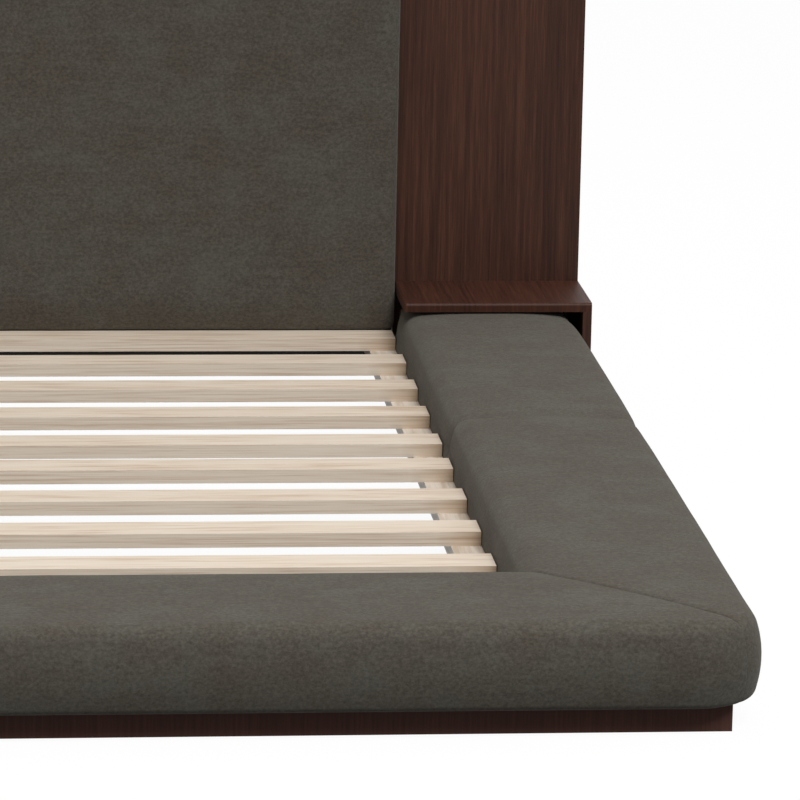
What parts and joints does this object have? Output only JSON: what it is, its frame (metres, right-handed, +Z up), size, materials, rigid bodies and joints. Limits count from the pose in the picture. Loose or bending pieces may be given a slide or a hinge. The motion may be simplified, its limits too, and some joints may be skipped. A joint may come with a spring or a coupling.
{
  "type": "floor bed",
  "caption": "Low platform bed: wide padded surround on a recessed plinth, slatted base for a mattress, padded headboard between veneered wings, bridge shelf on each side.",
  "frame": {"origin": "on the floor, under the middle of the bed's length and width", "axes": "+X to the right seen from the foot end, +Y from the foot to the headboard, +Z up"},
  "size_m": [2.712, 2.5277, 1.06],
  "materials": {
    "upholstery": "brushed suede cloth",
    "dark_veneer": "satin dark veneer",
    "pale_wood": "planed softwood, unfinished",
    "core_board": "raw plywood",
    "black_board": "black-stained board",
    "felt": "felt",
    "steel": "zinc-plated"
  },
  "bodies": {
    "root": {"back_batten_lower": "core_board", "back_batten_upper": "core_board", "batten_screws": "steel", "centre_beam_front": "pale_wood", "centre_beam_rear": "pale_wood", "centre_legs": "pale_wood", "corner_plates": "steel", "headboard_bolts": "steel", "headboard_centre_board": "black_board", "headboard_cushion": "upholstery", "headboard_wing_left": "dark_veneer", "headboard_wing_right": "dark_veneer", "leg_pads": "felt", "plinth_foot_left": "dark_veneer", "plinth_foot_right": "dark_veneer", "plinth_left_front": "dark_veneer", "plinth_left_rear": "dark_veneer", "plinth_right_front": "dark_veneer", "plinth_right_rear": "dark_veneer", "rail_core_foot_left": "core_board", "rail_core_foot_right": "core_board", "rail_core_left_front": "core_board", "rail_core_left_rear": "core_board", "rail_core_right_front": "core_board", "rail_core_right_rear": "core_board", "rail_cushion_foot_left": "upholstery", "rail_cushion_foot_right": "upholstery", "rail_cushion_left_front": "upholstery", "rail_cushion_left_rear": "upholstery", "rail_cushion_right_front": "upholstery", "rail_cushion_right_rear": "upholstery", "rail_joint_bolts": "steel", "runner_foot_left": "core_board", "runner_foot_right": "core_board", "runner_left_front": "core_board", "runner_left_rear": "core_board", "runner_right_front": "core_board", "runner_right_rear": "core_board", "shelf_dowels": "pale_wood", "shelf_screws": "steel", "shelf_side_left": "dark_veneer", "shelf_side_right": "dark_veneer", "shelf_top_left": "dark_veneer", "shelf_top_right": "dark_veneer", "slat_01": "pale_wood", "slat_02": "pale_wood", "slat_03": "pale_wood", "slat_04": "pale_wood", "slat_05": "pale_wood", "slat_06": "pale_wood", "slat_07": "pale_wood", "slat_08": "pale_wood", "slat_09": "pale_wood", "slat_10": "pale_wood", "slat_ledger_left_front": "pale_wood", "slat_ledger_left_rear": "pale_wood", "slat_ledger_right_front": "pale_wood", "slat_ledger_right_rear": "pale_wood", "wood_screws": "steel"}
  },
  "joints": []
}
